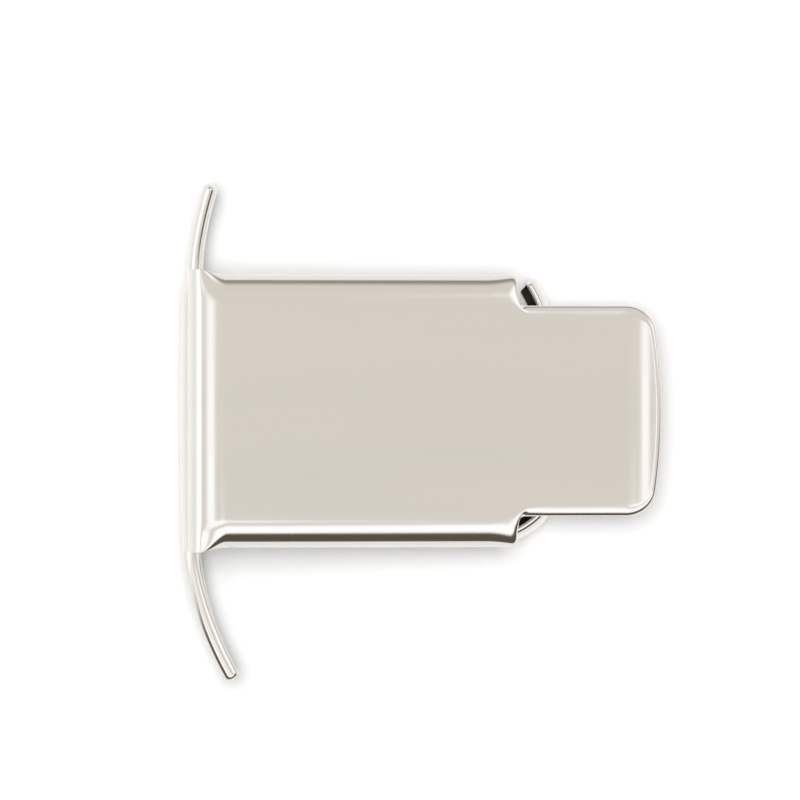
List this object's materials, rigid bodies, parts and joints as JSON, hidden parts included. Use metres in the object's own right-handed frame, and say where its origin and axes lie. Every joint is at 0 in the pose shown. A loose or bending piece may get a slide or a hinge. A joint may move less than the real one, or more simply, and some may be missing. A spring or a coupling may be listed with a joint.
{
  "type": "money clip",
  "caption": "Polished steel money clip: a wide folded spring leaf with a narrower tongue on the front, and a card cradle with curved arms and a curled lip on the back.",
  "frame": {"origin": "centre of the bounding box in plan, on the plane that the cradle's lower edges rest on", "axes": "+X from the fold towards the tongue, +Y along the card bar towards the shorter arm, +Z out of the front face"},
  "size_m": [0.0778, 0.0812, 0.0108],
  "materials": {
    "polished_steel": "mirror polished"
  },
  "bodies": {
    "cradle": {"back_leg": "polished_steel", "cradle_plate": "polished_steel", "card_bar": "polished_steel", "clip_fold": "polished_steel", "upper_root": "polished_steel", "lower_root": "polished_steel", "card_lip": "polished_steel", "upper_ear": "polished_steel", "lower_elbow": "polished_steel", "lower_ear": "polished_steel"},
    "leaf": {"front_face": "polished_steel", "tongue": "polished_steel"},
    "arm_upper": {"upper_arm": "polished_steel"},
    "arm_lower": {"lower_arm": "polished_steel"}
  },
  "joints": [
    {"name": "clip_flex", "type": "hinge", "parent": "cradle", "child": "leaf", "pos_m": [-0.03473, 0.00351, 0.0081], "axis": [0, -1, 0], "range_deg": [0, 8], "stiffness_Nm_per_rad": 2.5, "deforming": ["clip_fold"]},
    {"name": "upper_arm_flex", "type": "hinge", "parent": "cradle", "child": "arm_upper", "pos_m": [-0.03727, 0.02767, 0.0023], "axis": [0, 0, 1], "range_deg": [0, 12], "stiffness_Nm_per_rad": 0.35, "deforming": ["upper_root"]},
    {"name": "lower_arm_flex", "type": "hinge", "parent": "cradle", "child": "arm_lower", "pos_m": [-0.038, -0.02106, 0.0023], "axis": [0, 0, -1], "range_deg": [0, 12], "stiffness_Nm_per_rad": 0.35, "deforming": ["lower_root"]}
  ]
}
